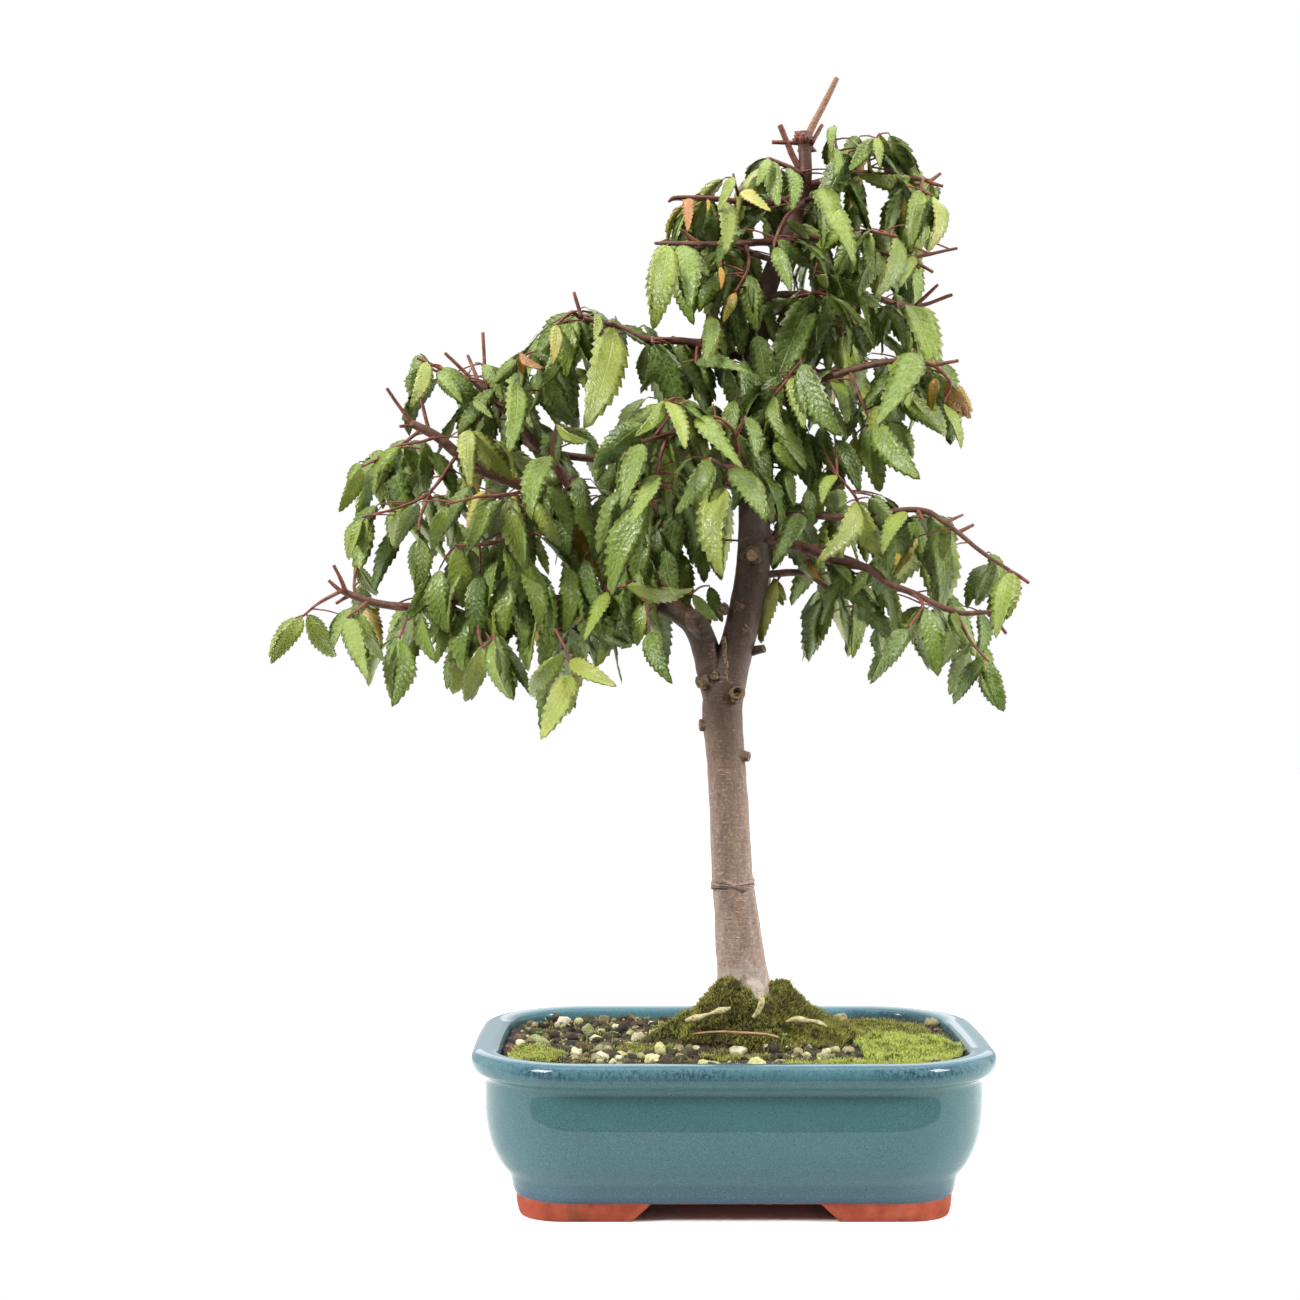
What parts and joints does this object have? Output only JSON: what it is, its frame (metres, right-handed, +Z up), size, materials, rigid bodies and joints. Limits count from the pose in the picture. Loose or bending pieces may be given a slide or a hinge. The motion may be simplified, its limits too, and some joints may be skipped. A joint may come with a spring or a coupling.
{
  "type": "japanese zelkova bonsai",
  "caption": "Broadleaf bonsai tree with a forked trunk and drooping toothed leaves, in a low rounded rectangular glazed pot with mossy grit soil.",
  "frame": {"origin": "middle of the whole tree and pot's box, on the surface that the pot stands on", "axes": "+Z up along the tree, +X to the right and +Y to the back as seen from the pot's long front side"},
  "size_m": [0.3192, 0.179, 0.4392],
  "materials": {
    "glaze": "glossy teal glaze with bluish streaks at the rim",
    "terracotta": "bare fired clay feet",
    "bark": "thin smooth bark with pores",
    "leaf": "slightly glossy quilted leaves on woody shoots",
    "soil": "coarse grit with pale pebbles",
    "moss": "short soft moss",
    "screen": "matte"
  },
  "bodies": {
    "root": {"back_crown_left": "leaf", "back_crown_low": "leaf", "back_crown_right": "leaf", "back_crown_top": "leaf", "back_fork_left": "leaf", "back_low": "leaf", "back_low_left": "leaf", "back_low_right": "leaf", "back_mid_right": "leaf", "back_middle": "leaf", "back_shoulder": "leaf", "back_shoulder_right": "leaf", "back_upper_left": "leaf", "back_upper_right": "leaf", "crown_front": "leaf", "crown_left": "leaf", "crown_left_low": "leaf", "crown_right": "leaf", "crown_right_low": "leaf", "crown_top_left": "leaf", "drain_screen_left": "screen", "drain_screen_right": "screen", "front_left": "leaf", "front_low": "leaf", "low_left": "leaf", "low_right": "leaf", "low_right_fork": "leaf", "mid_right": "leaf", "pot": "glaze", "shoulder": "leaf", "shoulder_right": "leaf", "soil": "soil", "trunk": "bark", "upper_left": "leaf", "upper_left_fork": "leaf", "upper_right": "leaf"}
  },
  "joints": []
}
